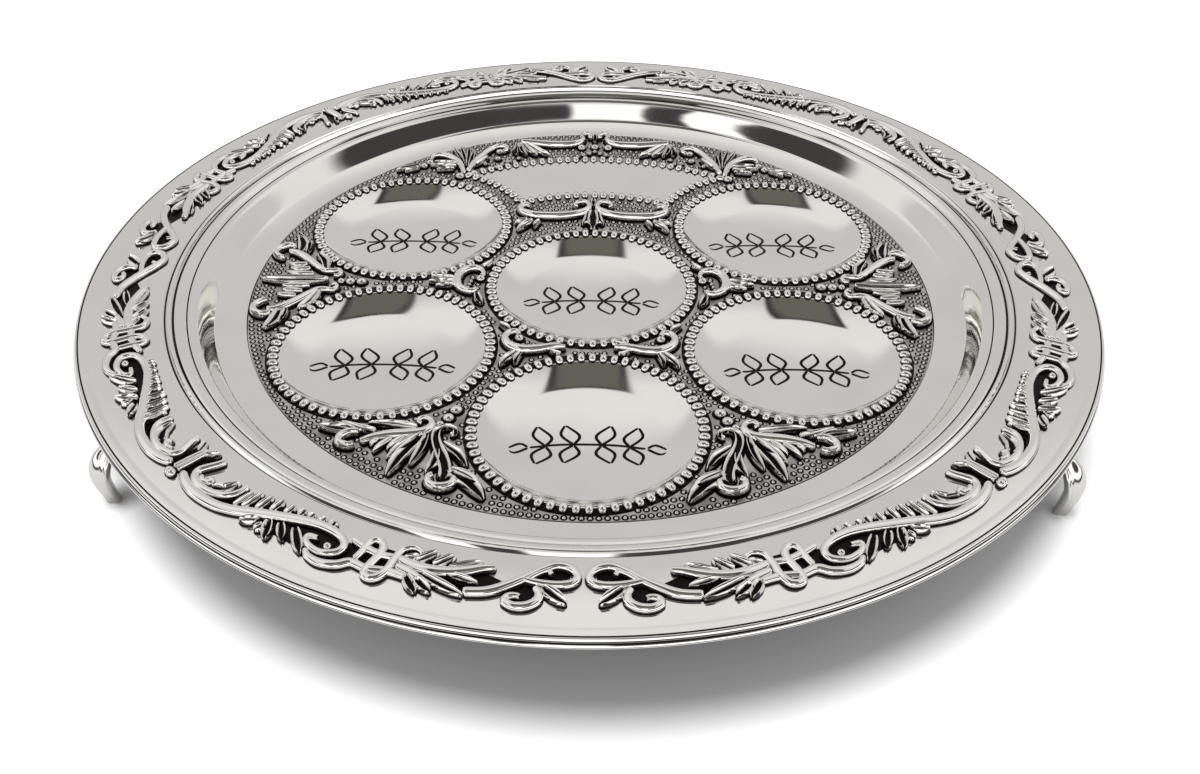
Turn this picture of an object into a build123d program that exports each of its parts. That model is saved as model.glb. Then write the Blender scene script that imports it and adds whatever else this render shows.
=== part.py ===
from build123d import *
import os
from math import acos, atan2, cos, degrees, pi, radians, sin

# A footed seder plate: a polished round tray with a broad rim, a die-struck medallion set in its well,
# bead-wire borders round six dished roundels and a blank cartouche, four cast scroll mounts on the rim,
# and three cast feet screwed to bosses under the rim.
# Millimetres. The origin is on the table under the middle of the plate, +Z up, the cartouche towards +Y.

# Tray, from the well's wall out to the turned-down edge
rim_height = 44.0
sheet = 1.2
lip_depth = 3.0
rim_width = 33.0
moulding_width = 3.0
moulding_rise = 0.9
shoulder_width = 7.0
shoulder_drop = 2.2
well_depth = 13.8
wall_run = 18.1
wall_bend_run = 7.1
wall_bend_rise = 4.4

# Medallion and its seat on the tray's ledge
medallion_margin = 3.4
ledge_width = 4.6
panel_clearance = 0.3

# Roundels: one in the middle and five on a ring, with the cartouche in the place of a sixth
roundel_angles = [30, 150, 210, 270, 330]
roundel_gap = 5.3
dish_radius = 39.2
dish_wall_run = 6.2
dish_depth = 5.0

# Pearl borders
pearl_margin = 0.5
pearl_spacing = 0.67
pearl_width = 3.6
pearl_height = 1.7

# Cartouche, between two arcs about the plate's axis and two about its neighbour roundels
cartouche_edge_gap = 27.6
cartouche_centre_gap = 34.2
cartouche_roundel_gap = 9.8
cartouche_neighbours = [30, 150]

# Sprays of leaves and scrolls between the roundels. The outlines are those on the right,
# drawn for a ring of roundels of the radius given.
spray_relief = 2.2
spray_ring = 91.9
lower_arm = [
    (55, -90), (60, -88.4), (62, -92), (78, -91), (88, -90.6), (95.6, -93.6), (88, -98.6),
    (87.4, -104), (80, -105.4), (74, -108), (67, -104), (60, -99), (55, -95),
]
lower_leaves = [
    (56, -97.4), (59.6, -98.4), (69.4, -111), (68.4, -119.6), (66, -118.8), (61.4, -111),
    (61, -114.6), (58.6, -113.6),
]
lower_stem = [
    (45.6, -95), (50, -92.6), (54.2, -96), (54.4, -104), (56.4, -118), (54.6, -123), (48.8, -126.4),
    (43.6, -123.6), (34.6, -131), (33.2, -129.4), (37, -121.4), (44.4, -116.4), (40.4, -114.6),
    (47.4, -103),
]
side_arm = [
    (104, 6), (107, 8.6), (110.3, 8.8), (111.6, 15), (116.6, 22), (119.4, 20), (121.4, 31),
    (124, 31.2), (126, 36), (129, 35), (128.8, 27), (133, 26.4), (136, 20.6), (133, 15), (129, 13),
    (128.4, 4.6), (136.6, 1),
]
top_branch = [
    (0, 137.6), (6.4, 137), (8, 128.4), (20, 127.4), (37, 129), (46, 124.4), (54, 118.6), (58, 117.4),
    (61, 122.4), (70, 120.4), (69.4, 113), (78, 113.8), (83.4, 103.6), (95, 96), (90, 93.4),
    (80, 99.4), (67, 95.6), (60.4, 97.8), (50, 113.4), (45, 115.6), (37, 112.6), (21.4, 113),
    (24, 122.8), (10, 122.6), (0, 121),
]
centre_scroll = [
    (0, 71), (2.6, 68), (8, 67.4), (9.6, 62), (6, 60), (12, 57.2), (26, 57.4), (28, 63.6), (31.4, 65),
    (34.6, 60.6), (32, 55.6), (35.6, 47), (34.4, 41.6), (26, 44), (22, 52.8), (7, 54.4), (4.6, 46.6),
    (0, 44.4),
]
side_scroll = [
    (44, 3), (45.2, 9.4), (42.4, 16), (47.4, 12.2), (52.4, 11.6), (57, 5), (67.6, 4), (67.8, -2),
    (57, -4), (53.4, -8.6), (45, -16.6), (43.4, -15.4), (46, -8), (51.4, -4), (53.2, 2), (51, 7),
]
lower_scroll = [
    (25.6, -38.6), (27.6, -34.6), (31, -34), (35.6, -29), (37, -30), (34.6, -39), (32.4, -46.4),
    (34.6, -57.4), (27.6, -57.4), (25.4, -48.8), (10, -49.2), (9, -45.4), (15.4, -43.2), (27, -44.4),
    (30.4, -40),
]

# Rim scroll mounts: each a quarter of the rim
mount_setback = 13.0
mount_relief = 2.2
strap_width = 2.0
bar_gap = 2.6
bar_length = 17.0
wave_swing = 6.5
wave_turn = 27.0
first_crest = 5.0
wave_start = 2.0
wave_end = 43.6
wave_steps = 16
leaf_places = [
    (9, (13, 8.5)),
    (15, (12, -8)),
    (22, (19, 8.5)),
    (28, (32, 9.5)),
    (36, (31, -8.5)),
    (40, (39, 8.5)),
]
leaf_spread = 1.6
leaf_tip = 0.35
eye_places = [(5, 0.5), (20, 0.5), (42, 0.5)]
eye_radius = 2.4
eye_sides = 6
knot_turns = [24.6, 26.8]
knot_length = 15.0
mount_angles = [45, 135, 225, 315]

# Feet and their fixings
foot_angles = [90, 210, 330]
foot_setback = 13.0
boss_radius = 5.5
boss_sides = 6
boss_height = 6.0
pad_length = 16.0
pad_width = 13.0
pad_height = 5.0
# The leg's front and back as (reach past the plate's edge, height), and its outline from the front
# as (width, height).
leg_front = [(-2.5, 26), (2.3, 21.2), (4.6, 15.3), (4.1, 9.2), (1.7, 0)]
leg_back = [(-3.5, 0), (-1.8, 10), (-3.3, 17.8), (-7.4, 24)]
leg_widths = [(5.2, 0), (7.4, 4.4), (11.6, 9.6), (13.6, 14.6), (11.4, 19.6), (7, 25)]
screw_radius = 2.0
screw_clearance = 0.1
screw_engagement = 4.5
thread_runout = 0.8
head_radius = 3.6
head_sides = 6
head_height = 2.4
head_room = 0.6

# Radii that follow from the sizes above, from the roundels outwards
dish_floor_radius = dish_radius - dish_wall_run
pearl_line_radius = dish_radius + pearl_margin + pearl_width / 2
pearl_pitch = pearl_width + pearl_spacing
roundel_ring_radius = 2 * pearl_line_radius + pearl_width + roundel_gap
medallion_radius = roundel_ring_radius + pearl_line_radius + pearl_width / 2 + medallion_margin
cartouche_outer_radius = medallion_radius - cartouche_edge_gap
cartouche_inner_radius = pearl_line_radius + cartouche_centre_gap
well_foot = medallion_radius + panel_clearance
ledge_inner = medallion_radius - ledge_width
wall_bend_radius = well_foot + wall_bend_run
shoulder_inner = well_foot + wall_run
rim_inner = shoulder_inner + shoulder_width + moulding_width
plate_radius = rim_inner + rim_width
mount_middle = rim_inner + mount_setback
foot_axis = rim_inner + foot_setback

# Heights that follow, from the rim downwards
face_height = rim_height - well_depth
panel_bottom = face_height - sheet
wall_bend_height = panel_bottom + wall_bend_rise
shoulder_height = rim_height - shoulder_drop
rim_underside = rim_height - sheet
pad_top = rim_underside - boss_height
pad_bottom = pad_top - pad_height


def polar(radius, angle):
    """Point at a radius and an angle in degrees."""
    return (radius * cos(radians(angle)), radius * sin(radians(angle)))


# Tray: a sheet section turned about the plate's axis
with BuildPart() as tray:
    with BuildSketch(Plane.XZ):
        with BuildLine():
            Polyline(
                (ledge_inner, panel_bottom),
                (well_foot, panel_bottom),
                (wall_bend_radius, wall_bend_height),
                (shoulder_inner, shoulder_height),
                (rim_inner - moulding_width / 2, rim_height + moulding_rise),
                (rim_inner, rim_height),
                (plate_radius, rim_height),
                (plate_radius, rim_height - lip_depth),
                (plate_radius - sheet, rim_height - lip_depth),
                (plate_radius - sheet, rim_underside),
                (rim_inner, rim_underside),
                (shoulder_inner + sheet, shoulder_height - sheet),
                (wall_bend_radius + sheet, wall_bend_height - sheet),
                (well_foot + sheet, panel_bottom - sheet),
                (ledge_inner, panel_bottom - sheet),
                close=True,
            )
        make_face()
    revolve(axis=Axis.Z)
tray.part.label = "tray"

# A roundel's dish, as the bulge under the medallion and the hollow in it
with BuildPart() as dish_bulge:
    with BuildSketch(Plane.XZ):
        with BuildLine():
            Polyline(
                (0, face_height - dish_depth - sheet),
                (dish_floor_radius, face_height - dish_depth - sheet),
                (dish_radius, panel_bottom),
                (0, panel_bottom),
                close=True,
            )
        make_face()
    revolve(axis=Axis.Z)

with BuildPart() as dish_hollow:
    with BuildSketch(Plane.XZ):
        with BuildLine():
            Polyline(
                (0, face_height - dish_depth),
                (dish_floor_radius, face_height - dish_depth),
                (dish_radius, face_height),
                (0, face_height),
                close=True,
            )
        make_face()
    revolve(axis=Axis.Z)

roundel_centres = [(0, 0)]
for angle in roundel_angles:
    roundel_centres.append(polar(roundel_ring_radius, angle))

# Medallion: a struck disc with a dish at each roundel
with BuildPart() as medallion:
    with BuildSketch(Plane.XY.offset(panel_bottom)):
        Circle(medallion_radius)
    extrude(amount=sheet)
    with Locations(*roundel_centres):
        add(dish_bulge.part)
    with Locations(*roundel_centres):
        add(dish_hollow.part, mode=Mode.SUBTRACT)
medallion.part.label = "medallion"

# Spray reliefs: leaves and scrolls on the medallion's face, between the roundels
side_spray = side_arm + [(x, -y) for x, y in reversed(side_arm)]
spray_outlines = [lower_arm, lower_leaves, lower_stem, side_spray, top_branch]
scroll_outlines = [centre_scroll, side_scroll, lower_scroll]
spray_scale = roundel_ring_radius / spray_ring
with BuildPart() as spray_reliefs:
    with BuildSketch(Plane.XY.offset(face_height)):
        for outline in spray_outlines + scroll_outlines:
            with BuildLine():
                Polyline([(x * spray_scale, y * spray_scale) for x, y in outline], close=True)
            make_face()
        mirror(about=Plane.YZ)
    extrude(amount=spray_relief)
spray_reliefs.part.label = "spray_reliefs"

# One pearl of the bead wire, standing on the medallion's face: two gables that cross in a point
gable = [(-pearl_width / 2, face_height), (pearl_width / 2, face_height), (0, face_height + pearl_height)]
with BuildPart() as pearl:
    with BuildSketch(Plane.XZ):
        with BuildLine():
            Polyline(gable, close=True)
        make_face()
    extrude(amount=pearl_width, both=True)
    with BuildSketch(Plane.YZ):
        with BuildLine():
            Polyline(gable, close=True)
        make_face()
    extrude(amount=pearl_width, both=True, mode=Mode.INTERSECT)

# Pearl borders round the roundels
pearl_count = round(2 * pi * pearl_line_radius / pearl_pitch)
border_names = ["centre"] + [str(angle) for angle in roundel_angles]
pearl_borders = []
for border_name, centre in zip(border_names, roundel_centres):
    with BuildPart() as border:
        with Locations(centre):
            with PolarLocations(pearl_line_radius, pearl_count):
                add(pearl.part)
    border.part.label = f"pearl_border_{border_name}"
    pearl_borders.append(border)

# Cartouche border: the corners are where the plate's arcs cross the arcs about the neighbour roundels
side_radius = pearl_line_radius + cartouche_roundel_gap


def corner_turn(radius):
    """Angle at the plate's axis between a neighbour roundel and a corner at this radius."""
    squares = radius**2 + roundel_ring_radius**2 - side_radius**2
    return degrees(acos(squares / (2 * radius * roundel_ring_radius)))


def pearl_arc(radius, start, sweep):
    """Locations of pearls along an arc, from its start up to but not on its end."""
    count = round(abs(radians(sweep)) * radius / pearl_pitch)
    return PolarLocations(radius, count, start, sweep)


def bearing(centre, point):
    """Direction in degrees from a centre to a point."""
    return degrees(atan2(point[1] - centre[1], point[0] - centre[0]))


right, left = cartouche_neighbours
outer_right = right + corner_turn(cartouche_outer_radius)
outer_left = left - corner_turn(cartouche_outer_radius)
inner_right = right + corner_turn(cartouche_inner_radius)
inner_left = left - corner_turn(cartouche_inner_radius)
right_centre = polar(roundel_ring_radius, right)
left_centre = polar(roundel_ring_radius, left)
left_top = bearing(left_centre, polar(cartouche_outer_radius, outer_left))
left_foot = bearing(left_centre, polar(cartouche_inner_radius, inner_left))
right_top = bearing(right_centre, polar(cartouche_outer_radius, outer_right))
right_foot = bearing(right_centre, polar(cartouche_inner_radius, inner_right))

with BuildPart() as cartouche_border:
    with pearl_arc(cartouche_outer_radius, outer_right, outer_left - outer_right):
        add(pearl.part)
    with Locations(left_centre):
        with pearl_arc(side_radius, left_top, left_foot - left_top):
            add(pearl.part)
    with pearl_arc(cartouche_inner_radius, inner_left, inner_right - inner_left):
        add(pearl.part)
    with Locations(right_centre):
        with pearl_arc(side_radius, right_foot, right_top - right_foot):
            add(pearl.part)
cartouche_border.part.label = "cartouche_border"


# Rim scroll mount: straps drawn on one half, from the twin bars to the rim's axis, and mirrored
def on_rim(turn, offset):
    """Point at a turn in degrees from the twin bars and an offset from the mount's middle line."""
    return polar(mount_middle + offset, turn)


def wave(turn):
    """Place of the running stem at a turn: its first crest is over the twin bars."""
    return on_rim(turn, wave_swing * cos(2 * pi * (turn - first_crest) / wave_turn))


def straight(start, end):
    """Straight strap between two points."""
    with BuildLine() as path:
        Line(start, end)
    trace(path.line, line_width=strap_width)


wave_turns = [wave_start + (wave_end - wave_start) * step / wave_steps for step in range(wave_steps + 1)]
with BuildPart() as half_mount:
    with BuildSketch(Plane.XY.offset(rim_height)):
        with BuildLine():
            Polyline([wave(turn) for turn in wave_turns])
        trace(line_width=strap_width)
        # leaves that stand off the stem, and the scroll eyes that its curves hold
        for root, (tip_turn, tip_offset) in leaf_places:
            with BuildLine():
                Polyline(
                    wave(root - leaf_spread),
                    on_rim(tip_turn - leaf_tip, tip_offset),
                    on_rim(tip_turn + leaf_tip, tip_offset),
                    wave(root + leaf_spread),
                    close=True,
                )
            make_face()
        for turn, offset in eye_places:
            with Locations(on_rim(turn, offset)):
                RegularPolygon(eye_radius, eye_sides)
            straight(on_rim(turn, offset), wave(turn))
        # knot that binds the stem
        for turn in knot_turns:
            straight(on_rim(turn, -knot_length / 2), on_rim(turn, knot_length / 2))
        # twin bar and the link to its neighbour
        straight((mount_middle - bar_length / 2, bar_gap), (mount_middle + bar_length / 2, bar_gap))
        straight((mount_middle, 0), (mount_middle, bar_gap))
        straight((mount_middle + bar_length / 2 - strap_width, bar_gap), wave(wave_start))
    extrude(amount=mount_relief)

with BuildPart() as mount_pattern:
    add(half_mount.part)
    mirror(about=Plane.XZ)

rim_mounts = []
for angle in mount_angles:
    with BuildPart() as rim_mount:
        with Locations(Location((0, 0, 0), (0, 0, angle))):
            add(mount_pattern.part)
    rim_mount.part.label = f"rim_scroll_{angle}"
    rim_mounts.append(rim_mount)

# Foot boss: soldered under the rim, with a blind hole for the screw
with BuildPart() as boss_pattern:
    with BuildSketch(Plane.XY.offset(pad_top)):
        with Locations((foot_axis, 0)):
            RegularPolygon(boss_radius, boss_sides)
    extrude(amount=boss_height)
    with BuildSketch(Plane.XY.offset(pad_top)):
        with Locations((foot_axis, 0)):
            Circle(screw_radius + screw_clearance)
    extrude(amount=screw_engagement + thread_runout, mode=Mode.SUBTRACT)

# Foot screw: hexagon head under the pad, shank up into the boss
with BuildPart() as screw_pattern:
    with BuildSketch(Plane.XY.offset(pad_bottom)):
        with Locations((foot_axis, 0)):
            RegularPolygon(head_radius, head_sides)
    extrude(amount=-head_height)
    with BuildSketch(Plane.XY.offset(pad_bottom)):
        with Locations((foot_axis, 0)):
            Circle(screw_radius)
    extrude(amount=pad_height + screw_engagement)

# Foot: a cabriole leg with a flat pad, cut from its side and front outlines
pad_inner = foot_axis - pad_length / 2
pad_outer = foot_axis + pad_length / 2
leg_under = foot_axis + head_radius + head_room
front_line = [(plate_radius + reach, height) for reach, height in leg_front]
back_line = [(plate_radius + reach, height) for reach, height in leg_back]
side_line = [(width / 2, height) for width, height in leg_widths]
leg_reach = max(radius for radius, height in front_line)

with BuildPart() as foot_pattern:
    with BuildSketch(Plane.XZ):
        with BuildLine():
            Polyline(
                [(pad_inner, pad_bottom), (pad_inner, pad_top), (pad_outer, pad_top)]
                + front_line
                + back_line
                + [(leg_under, pad_bottom)],
                close=True,
            )
        make_face()
    extrude(amount=pad_width, both=True)
    with BuildSketch(Plane.YZ):
        with BuildLine():
            Polyline(
                [(0, 0)]
                + side_line
                + [(pad_width / 2, pad_bottom), (pad_width / 2, pad_top), (0, pad_top)],
            )
            mirror(about=Plane.YZ)
        make_face()
    extrude(amount=leg_reach, mode=Mode.INTERSECT)
    with BuildSketch(Plane.XY.offset(pad_bottom)):
        with Locations((foot_axis, 0)):
            Circle(screw_radius + screw_clearance)
    extrude(amount=pad_height, mode=Mode.SUBTRACT)

feet = []
for angle in foot_angles:
    with BuildPart() as foot:
        with Locations(Location((0, 0, 0), (0, 0, angle))):
            add(foot_pattern.part)
    foot.part.label = f"foot_{angle}"
    feet.append(foot)

foot_turns = [Location((0, 0, 0), (0, 0, angle)) for angle in foot_angles]
with BuildPart() as foot_bosses:
    with Locations(*foot_turns):
        add(boss_pattern.part)
foot_bosses.part.label = "foot_bosses"

with BuildPart() as foot_screws:
    with Locations(*foot_turns):
        add(screw_pattern.part)
foot_screws.part.label = "foot_screws"

os.makedirs("parts", exist_ok=True)
single_pieces = [tray, medallion, spray_reliefs, cartouche_border, foot_bosses, foot_screws]
for piece in single_pieces + pearl_borders + rim_mounts + feet:
    export_step(piece.part, f"parts/{piece.part.label}.step")
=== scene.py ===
from math import atan2, cos, hypot, pi, radians, sin, sqrt, tan

import bmesh
import bpy
import numpy as np
from mathutils import Matrix, Vector


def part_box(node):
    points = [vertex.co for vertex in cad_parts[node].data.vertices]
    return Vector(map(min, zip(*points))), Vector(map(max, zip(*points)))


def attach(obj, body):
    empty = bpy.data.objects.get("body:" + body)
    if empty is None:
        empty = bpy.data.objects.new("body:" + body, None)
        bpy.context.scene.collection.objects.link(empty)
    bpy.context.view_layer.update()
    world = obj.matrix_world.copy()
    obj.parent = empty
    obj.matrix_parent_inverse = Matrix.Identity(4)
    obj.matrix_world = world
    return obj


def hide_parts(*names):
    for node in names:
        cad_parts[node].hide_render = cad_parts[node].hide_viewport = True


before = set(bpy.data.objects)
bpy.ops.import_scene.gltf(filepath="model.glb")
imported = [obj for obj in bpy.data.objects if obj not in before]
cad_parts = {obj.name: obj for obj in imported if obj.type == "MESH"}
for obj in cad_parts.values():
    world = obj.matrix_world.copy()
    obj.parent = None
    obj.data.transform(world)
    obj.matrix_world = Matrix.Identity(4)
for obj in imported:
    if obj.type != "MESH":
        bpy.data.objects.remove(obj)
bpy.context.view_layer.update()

MM = 0.001


# Sizes, in millimetres

def span(node):
    """Lowest and highest corner of a node, in millimetres."""
    low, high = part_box(node)
    return Vector(low) / MM, Vector(high) / MM


def middle(node):
    """Plan position of the middle of a node, in millimetres."""
    low, high = span(node)
    return ((low.x + high.x) / 2, (low.y + high.y) / 2)


# The plate as packed: radii, the heights of rim and medallion, and the relief on them
tray_low, tray_high = span("tray")
mount_low, mount_high = span("rim_scroll_45")
ring_low, ring_high = span("pearl_border_centre")
plate_radius = min(tray_high.x, -tray_low.x, tray_high.y, -tray_low.y)
medallion_radius = span("medallion")[1].x
rim = mount_low.z
rim_relief = mount_high.z - rim
face = ring_low.z
roundels = {name: middle("pearl_border_" + name) for name in ("centre", "30", "150", "210", "270", "330")}

# Tray sheet
sheet = 1.2
lip_depth = 3.0
moulding_edge = 168.2
shoulder_radius = 159.0
shoulder_drop = 3.1
wall_slope = 56.0
wall_foot = 149.4
ledge_radius = 134.0

# Pearls
bead_line = 41.4
bead_length = 4.6
bead_height = (ring_high.z - ring_low.z) * 1.2
beads_in_ring = 61
bead_pitch = 2 * pi * bead_line / beads_in_ring
bead_width = bead_pitch * .72

# Dishes: a shallow floor as far as the bend, then a steeper side; slopes in degrees
dish_edge = bead_line - 1.5
dish_bend = 27.0
floor_slope = 8.0
dish_slope = 38.0

# Cartouche, between arcs about the plate's middle and about the two upper roundels
cartouche_outer = 111.0
cartouche_inner = 75.7
cartouche_side = 51.3
cartouche_rise = 0.35

# Relief on the medallion, the thin black of its outlines, which are painted shade round the relief, and of
# its sprigs, and how far it reaches into the face
spray_relief = 2.6
film = 0.06
# Width of the painted shade round the medallion's relief
shade_outline_width = 0.75
sunk = 0.1
stipple_pitch = 3.0


# Shapes

class Shape:
    """Vertices in millimetres and faces, gathered bit by bit, with a material number for each face."""

    def __init__(self):
        self.points = []
        self.faces = []
        self.slots = []
        self.count = 0

    def add(self, points, faces, slot=0):
        points = np.asarray(points, float).reshape(-1, 3)
        self.points.append(points)
        self.faces.extend((np.asarray(corners) + self.count).tolist() for corners in faces)
        self.slots.extend([slot] * len(faces))
        self.count += len(points)

    def piece(self, name, materials, replaced, sharp=50.0):
        mesh = bpy.data.meshes.new(name)
        mesh.from_pydata((np.concatenate(self.points) * MM).tolist(), [], self.faces)
        mesh.polygons.foreach_set("material_index", self.slots)
        for material in materials:
            mesh.materials.append(material)
        work = bmesh.new()
        work.from_mesh(mesh)
        bmesh.ops.remove_doubles(work, verts=work.verts, dist=1e-6)
        bmesh.ops.recalc_face_normals(work, faces=work.faces)
        work.to_mesh(mesh)
        work.free()
        mesh.shade_smooth()
        mesh.set_sharp_from_angle(angle=radians(sharp))
        thing = bpy.data.objects.new(name, mesh)
        bpy.context.scene.collection.objects.link(thing)
        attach(thing, "root")
        for node in replaced:
            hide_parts(node)


def grid_faces(rows, columns, round_rows=False, round_columns=False):
    """Four-sided faces over a grid of points, closed on itself either way if asked."""
    faces = []
    for i in range(rows if round_rows else rows - 1):
        for j in range(columns if round_columns else columns - 1):
            k, m = (i + 1) % rows, (j + 1) % columns
            faces.append((i * columns + j, k * columns + j, k * columns + m, i * columns + m))
    return faces


def lathe(shape, profile, centre=(0.0, 0.0), steps=256, closed=True, slot=0, lines=()):
    """Turn a profile of (radius, height) about an upright axis; lines are its steps in the next material,
    which on the tray are lines of painted shade.
    """
    radius, height = np.asarray(profile, float).T
    turn = np.arange(steps)[:, None] * 2 * pi / steps
    x = centre[0] + radius * np.cos(turn)
    y = centre[1] + radius * np.sin(turn)
    z = np.broadcast_to(height, x.shape)
    shape.add(np.stack([x, y, z], -1), grid_faces(steps, len(radius), True, closed), slot)
    row = len(radius) if closed else len(radius) - 1
    for turned in range(steps):
        for step in lines:
            shape.slots[turned * row + step - steps * row] = slot + 1


def arc(start, slope_in, slope_out, run, count):
    """Arc in profile that leaves start at one slope and ends at another, over a change of radius of run."""
    sines = np.linspace(sin(radians(slope_in)), sin(radians(slope_out)), count)
    bend = run / (sines[-1] - sines[0])
    radius = start[0] + bend * (sines - sines[0])
    height = start[1] + bend * (sqrt(1 - sines[0] ** 2) - np.sqrt(1 - sines ** 2))
    return list(zip(radius, height))


def smooth_path(points, spacing):
    """Smooth curve through flat points, sampled about every spacing."""
    points = np.asarray(points, float)
    ends = np.vstack([2 * points[0] - points[1], points, 2 * points[-1] - points[-2]])
    parts = []
    for before, here, there, after in zip(ends, ends[1:], ends[2:], ends[3:]):
        steps = max(2, int(hypot(*(there - here)) / spacing))
        t = (np.arange(steps) / steps)[:, None]
        parts.append(0.5 * (2 * here + (there - before) * t
                            + (2 * before - 5 * here + 4 * there - after) * t ** 2
                            + (3 * here - before - 3 * there + after) * t ** 3))
    parts.append(points[-1:])
    return np.concatenate(parts)


BAND = [(-1, 0), (-.97, .4), (-.85, .72), (-.5, .94), (0, 1), (.5, .94), (.85, .72), (.97, .4), (1, 0)]
LEAF = [(-1, 0), (-.98, .55), (-.84, .93), (-.6, .86), (-.3, .1), (.3, .1), (.6, .86), (.84, .93),
        (.98, .55), (1, 0)]
SLAB = [(-1, 0), (-1, 1), (1, 1), (1, 0)]


class Pen:
    """Draws raised strokes, leaves and balls, once for each of the places it is given."""

    def __init__(self, shape, places, height, spacing=0.55, outline=0.0, chart=None, bold=1.0):
        self.shape = shape
        self.places = places
        self.height = height
        self.spacing = spacing
        self.outline = outline
        self.chart = chart or (lambda point: point)
        self.bold = bold
        self.marks = []

    def sweep(self, path, half, rise, section, slot):
        """Carry a section along a flat path, with a half width and a rise for each of its points."""
        along = np.gradient(path, axis=0)
        along /= np.maximum(np.hypot(*along.T), 1e-9)[:, None]
        side = np.stack([-along[:, 1], along[:, 0]], -1)
        across, up = np.asarray(section, float).T
        flat = path[:, None] + side[:, None] * (half[:, None] * across)[..., None]
        faces = grid_faces(len(path), len(across), False, True)
        for place in self.places:
            points = place(flat[..., 0], flat[..., 1], rise[:, None] * up)
            self.shape.add(np.stack(points, -1), faces, slot)

    def stroke(self, points, widths, height=1.0, section=BAND):
        """Raised line through points, with rounded ends, and a black outline of painted shade round its foot
        if the pen has one.
        """
        path = smooth_path([self.chart(point) for point in points], self.spacing)
        run = np.concatenate([[0], np.cumsum(np.hypot(*np.diff(path, axis=0).T))])
        half = np.interp(run / run[-1], np.linspace(0, 1, len(widths)), widths) * self.bold / 2
        end = np.clip(np.minimum(run, run[-1] - run) / np.maximum(half, 1e-6), 0, 1)
        half = half * np.sqrt(1 - (1 - end) ** 2)
        rise = self.height * height * np.sqrt(np.minimum(1, half / (0.4 * half.max())))
        self.sweep(path, half, rise, section, 0)
        if self.outline:
            # Black sheet round the stroke: painted shade where the relief meets the ground
            wide = (half + self.outline) * np.sqrt(np.minimum(1, half / (0.2 * half.max())))
            self.sweep(path, wide, np.full(len(path), film), SLAB, 1)
        for place in self.places:
            x, y, _ = place(path[:, 0], path[:, 1], np.zeros(len(path)))
            self.marks.append(np.stack([x, y, half], -1))

    def leaf(self, root, tip, width, bow=0.0, height=1.0, section=LEAF):
        """Leaf that is hollow along its middle; bow bends it sideways."""
        root, tip = np.asarray(root, float), np.asarray(tip, float)
        reach = tip - root
        lift = np.array([-reach[1], reach[0]]) / hypot(*reach)
        widths = [width * share for share in (.5, .9, 1, .8, .2)]
        self.stroke([root, (root + tip) / 2 + lift * bow, tip], widths, height, section)

    def finger(self, root, tip, width, bow=0.0, height=1.0):
        """Leaf with a rounded top."""
        self.leaf(root, tip, width, bow, height, BAND)

    def ball(self, centre, radius, height=1.0, sides=16):
        centre = np.asarray(self.chart(centre), float)
        lean = np.radians([0, 12, 30, 50, 70, 90])[:, None]
        turn = np.arange(sides) * 2 * pi / sides
        u = centre[0] + radius * np.cos(lean) * np.cos(turn)
        v = centre[1] + radius * np.cos(lean) * np.sin(turn)
        up = np.broadcast_to(self.height * height * np.sin(lean) ** 0.7, u.shape)
        faces = grid_faces(len(lean), sides, False, True) + [tuple(range(sides))]
        for place in self.places:
            self.shape.add(np.stack(place(u, v, up), -1), faces, 0)
            x, y, _ = place(centre[:1], centre[1:], np.zeros(1))
            self.marks.append(np.array([[x[0], y[0], radius]]))
        if self.outline:
            # Black disc under the ball: painted shade round its foot
            edge = np.stack([centre[0] + (radius + self.outline) * np.cos(turn),
                             centre[1] + (radius + self.outline) * np.sin(turn)], -1)
            self.patch(edge, film, 1)

    def patch(self, edge, height, slot):
        """Thin flat plate with the given outline."""
        edge = np.asarray(edge, float)
        count = len(edge)
        faces = grid_faces(2, count, False, True) + [tuple(range(count)), tuple(range(count, 2 * count))]
        for place in self.places:
            low = place(edge[:, 0], edge[:, 1], np.full(count, -sunk))
            high = place(edge[:, 0], edge[:, 1], np.full(count, height))
            self.shape.add(np.concatenate([np.stack(low, -1), np.stack(high, -1)]), faces, slot)


# Materials

class Graph:
    """Short way to lay out shader nodes."""

    def __init__(self, tree):
        self.tree = tree
        tree.nodes.clear()

    def add(self, kind, settings=None, **sockets):
        made = self.tree.nodes.new(kind)
        for name, value in (settings or {}).items():
            setattr(made, name, value)
        for name, value in sockets.items():
            self.put(made.inputs[name.replace("_", " ")], value)
        return made

    def put(self, socket, value):
        if isinstance(value, bpy.types.NodeSocket):
            self.tree.links.new(value, socket)
        else:
            socket.default_value = value

    def math(self, operation, *values):
        made = self.tree.nodes.new("ShaderNodeMath")
        made.operation = operation
        for socket, value in zip(made.inputs, values):
            self.put(socket, value)
        return made.outputs[0]

    def remap(self, value, low, high, to_low=0.0, to_high=1.0):
        made = self.add("ShaderNodeMapRange", {"interpolation_type": "SMOOTHSTEP"},
                        Value=value, From_Min=low, From_Max=high, To_Min=to_low, To_Max=to_high)
        return made.outputs["Result"]

    def mix(self, factor, one, two):
        made = self.tree.nodes.new("ShaderNodeMix")
        made.data_type = "RGBA"
        self.put(made.inputs["Factor"], factor)
        self.put(made.inputs[6], one)
        self.put(made.inputs[7], two)
        return made.outputs[2]


def colour(value, tint=(1.0, 1.0, 1.0)):
    return (value * tint[0], value * tint[1], value * tint[2], 1.0)


SILVER = (0.905, 0.893, 0.872)
# Black of oxide, used also as painted shade in creases and round the relief
OXIDE_AND_PAINTED_SHADE = (0.017, 0.016, 0.014)


def blank_material(name):
    """New material, and its empty graph of shader nodes."""
    material = bpy.data.materials.new(name)
    material.use_nodes = True
    return material, Graph(material.node_tree)


def metal_skin(graph, shade, polish):
    """Metal of the given colour and roughness as the output of a graph; gives back its shader."""
    skin = graph.add("ShaderNodeBsdfPrincipled", Base_Color=shade, Metallic=1.0, Roughness=polish)
    graph.add("ShaderNodeOutputMaterial", Surface=skin.outputs["BSDF"])
    return skin


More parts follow.
